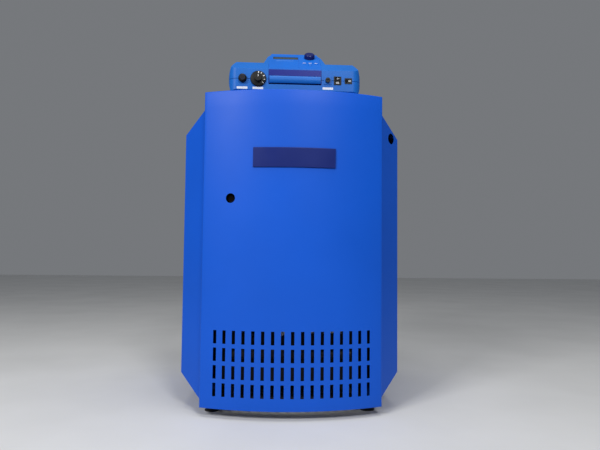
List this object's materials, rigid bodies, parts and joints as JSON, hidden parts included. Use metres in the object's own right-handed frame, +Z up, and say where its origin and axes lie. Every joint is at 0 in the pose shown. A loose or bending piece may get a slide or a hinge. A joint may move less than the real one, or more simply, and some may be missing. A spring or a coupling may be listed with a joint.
{
  "type": "floor-standing gas boiler",
  "caption": "Floor-standing atmospheric gas boiler: octagonal sheet casing, bowed slotted front panel, control unit on top, cast block and tube burner inside.",
  "frame": {"origin": "on the floor under the middle of the box round the whole boiler", "axes": "+Z up, the front panel faces -Y, +X to the right seen from the front"},
  "size_m": [0.6, 0.774, 1.0167],
  "materials": {
    "casing_paint": "satin powder coat",
    "base_paint": "satin",
    "plate_navy": "satin",
    "control_plastic": "fine moulded grain",
    "module_plastic": "fine moulded grain",
    "band_plastic": "satin",
    "knob_plastic": "satin",
    "display": "gloss",
    "black_plastic": "fine moulded grain",
    "board": "satin",
    "zinc_steel": "zinc plated",
    "flue_steel": "aluminised sheet",
    "burner_steel": "stainless sheet",
    "cast_iron": "as cast",
    "insulation": "foil-faced mineral wool",
    "pipe_steel": "drawn",
    "burner_enamel": "heat-resistant black",
    "gas_pipe_paint": "satin black",
    "brass": "turned",
    "handle_red": "moulded",
    "valve_metal": "die cast",
    "ceramic": "glazed",
    "button_red": "gloss"
  },
  "bodies": {
    "casing": {"base_frame": "base_paint", "side_panel_left": "casing_paint", "side_panel_right": "casing_paint", "rear_panel": "casing_paint", "top_cover_front": "casing_paint", "top_cover_rear": "casing_paint", "upper_crossbar": "zinc_steel", "casing_screws": "zinc_steel", "control_base": "control_plastic", "control_cover": "control_plastic", "display_module": "module_plastic", "display_window": "display", "service_panel": "band_plastic", "thermostat_body": "black_plastic", "limiter_body": "black_plastic", "fuse_holder": "control_plastic", "mode_switch_frame": "black_plastic", "main_switch_frame": "black_plastic", "circuit_board": "board", "end_section_left": "cast_iron", "end_section_right": "cast_iron", "middle_sections": "cast_iron", "nipples": "zinc_steel", "tie_rods": "zinc_steel", "insulation_jacket": "insulation", "flue_collector": "flue_steel", "draught_diverter": "flue_steel", "flow_pipe": "pipe_steel", "return_pipe": "pipe_steel", "drain_cock": "brass", "burner_chamber": "burner_enamel", "burner_plate": "burner_enamel", "burner_tubes": "burner_steel", "burner_frame": "zinc_steel", "gas_manifold": "gas_pipe_paint", "orifices": "brass", "gas_valve": "valve_metal", "gas_pipe": "gas_pipe_paint", "pilot_assembly": "ceramic", "ignition_control": "black_plastic"},
    "foot_front_left": {"foot_front_left": "base_paint"},
    "foot_front_right": {"foot_front_right": "base_paint"},
    "foot_rear_left": {"foot_rear_left": "base_paint"},
    "foot_rear_right": {"foot_rear_right": "base_paint"},
    "front_panel": {"front_panel": "casing_paint", "badge_plate": "plate_navy"},
    "selector_knob": {"selector_knob": "knob_plastic"},
    "key_left": {"key_left": "module_plastic"},
    "key_middle": {"key_middle": "module_plastic"},
    "key_right": {"key_right": "module_plastic"},
    "key_small": {"key_small": "module_plastic"},
    "module_flap": {"module_flap": "control_plastic"},
    "thermostat_dial": {"thermostat_dial": "black_plastic"},
    "limiter_cap": {"limiter_cap": "black_plastic"},
    "fuse_cap": {"fuse_cap": "black_plastic"},
    "mode_rocker": {"mode_rocker": "black_plastic"},
    "main_rocker": {"main_rocker": "black_plastic"},
    "drain_handle": {"drain_handle": "handle_red"},
    "gas_valve_knob": {"gas_valve_knob": "black_plastic"},
    "reset_button": {"reset_button": "button_red"}
  },
  "joints": [
    {"name": "foot_front_left_turn", "type": "hinge", "parent": "casing", "child": "foot_front_left", "pos_m": [-0.212, -0.27, 0.02], "axis": [0, 0, 1], "continuous": true},
    {"name": "foot_front_right_turn", "type": "hinge", "parent": "casing", "child": "foot_front_right", "pos_m": [0.212, -0.27, 0.02], "axis": [0, 0, 1], "continuous": true},
    {"name": "foot_rear_left_turn", "type": "hinge", "parent": "casing", "child": "foot_rear_left", "pos_m": [-0.212, 0.19, 0.02], "axis": [0, 0, 1], "continuous": true},
    {"name": "foot_rear_right_turn", "type": "hinge", "parent": "casing", "child": "foot_rear_right", "pos_m": [0.212, 0.19, 0.02], "axis": [0, 0, 1], "continuous": true},
    {"name": "front_panel_pull", "type": "slide", "parent": "casing", "child": "front_panel", "axis": [0, -1, 0], "range_m": [0, 0.3]},
    {"name": "thermostat_turn", "type": "hinge", "parent": "casing", "child": "thermostat_dial", "pos_m": [-0.0997, -0.285, 0.913], "axis": [0, 1, 0], "range_deg": [-135, 135]},
    {"name": "limiter_cap_turn", "type": "hinge", "parent": "casing", "child": "limiter_cap", "pos_m": [-0.1435, -0.285, 0.913], "axis": [0, 1, 0], "continuous": true},
    {"name": "fuse_cap_turn", "type": "hinge", "parent": "casing", "child": "fuse_cap", "pos_m": [0.095, -0.285, 0.913], "axis": [0, 1, 0], "range_deg": [-90, 0]},
    {"name": "mode_rock", "type": "hinge", "parent": "casing", "child": "mode_rocker", "pos_m": [0.1225, -0.281, 0.913], "axis": [1, 0, 0], "range_deg": [-16, 0]},
    {"name": "main_rock", "type": "hinge", "parent": "casing", "child": "main_rocker", "pos_m": [0.153, -0.281, 0.913], "axis": [0, 0, 1], "range_deg": [-16, 0]},
    {"name": "selector_turn", "type": "hinge", "parent": "casing", "child": "selector_knob", "pos_m": [0.047, -0.21912, 0.99928], "axis": [0, -0.6428, 0.766], "continuous": true},
    {"name": "key_left_press", "type": "slide", "parent": "casing", "child": "key_left", "axis": [0, 0.6428, -0.766], "range_m": [0, 0.0008], "stiffness_N_per_m": 300},
    {"name": "key_middle_press", "type": "slide", "parent": "casing", "child": "key_middle", "axis": [0, 0.6428, -0.766], "range_m": [0, 0.0008], "stiffness_N_per_m": 300},
    {"name": "key_right_press", "type": "slide", "parent": "casing", "child": "key_right", "axis": [0, 0.6428, -0.766], "range_m": [0, 0.0008], "stiffness_N_per_m": 300},
    {"name": "key_small_press", "type": "slide", "parent": "casing", "child": "key_small", "axis": [0, 0.6428, -0.766], "range_m": [0, 0.0008], "stiffness_N_per_m": 300},
    {"name": "flap_fold", "type": "hinge", "parent": "casing", "child": "module_flap", "pos_m": [0.003, -0.2845, 0.9045], "axis": [1, 0, 0], "range_deg": [0, 100]},
    {"name": "reset_press", "type": "slide", "parent": "casing", "child": "reset_button", "axis": [0, 1, 0], "range_m": [0, 0.004], "stiffness_N_per_m": 250},
    {"name": "gas_knob_turn", "type": "hinge", "parent": "casing", "child": "gas_valve_knob", "pos_m": [0.074, -0.303, 0.223], "axis": [0, 1, 0], "range_deg": [-90, 90]},
    {"name": "drain_turn", "type": "hinge", "parent": "casing", "child": "drain_handle", "pos_m": [-0.138, -0.259, 0.3], "axis": [0, 0, 1], "range_deg": [-90, 0]}
  ]
}
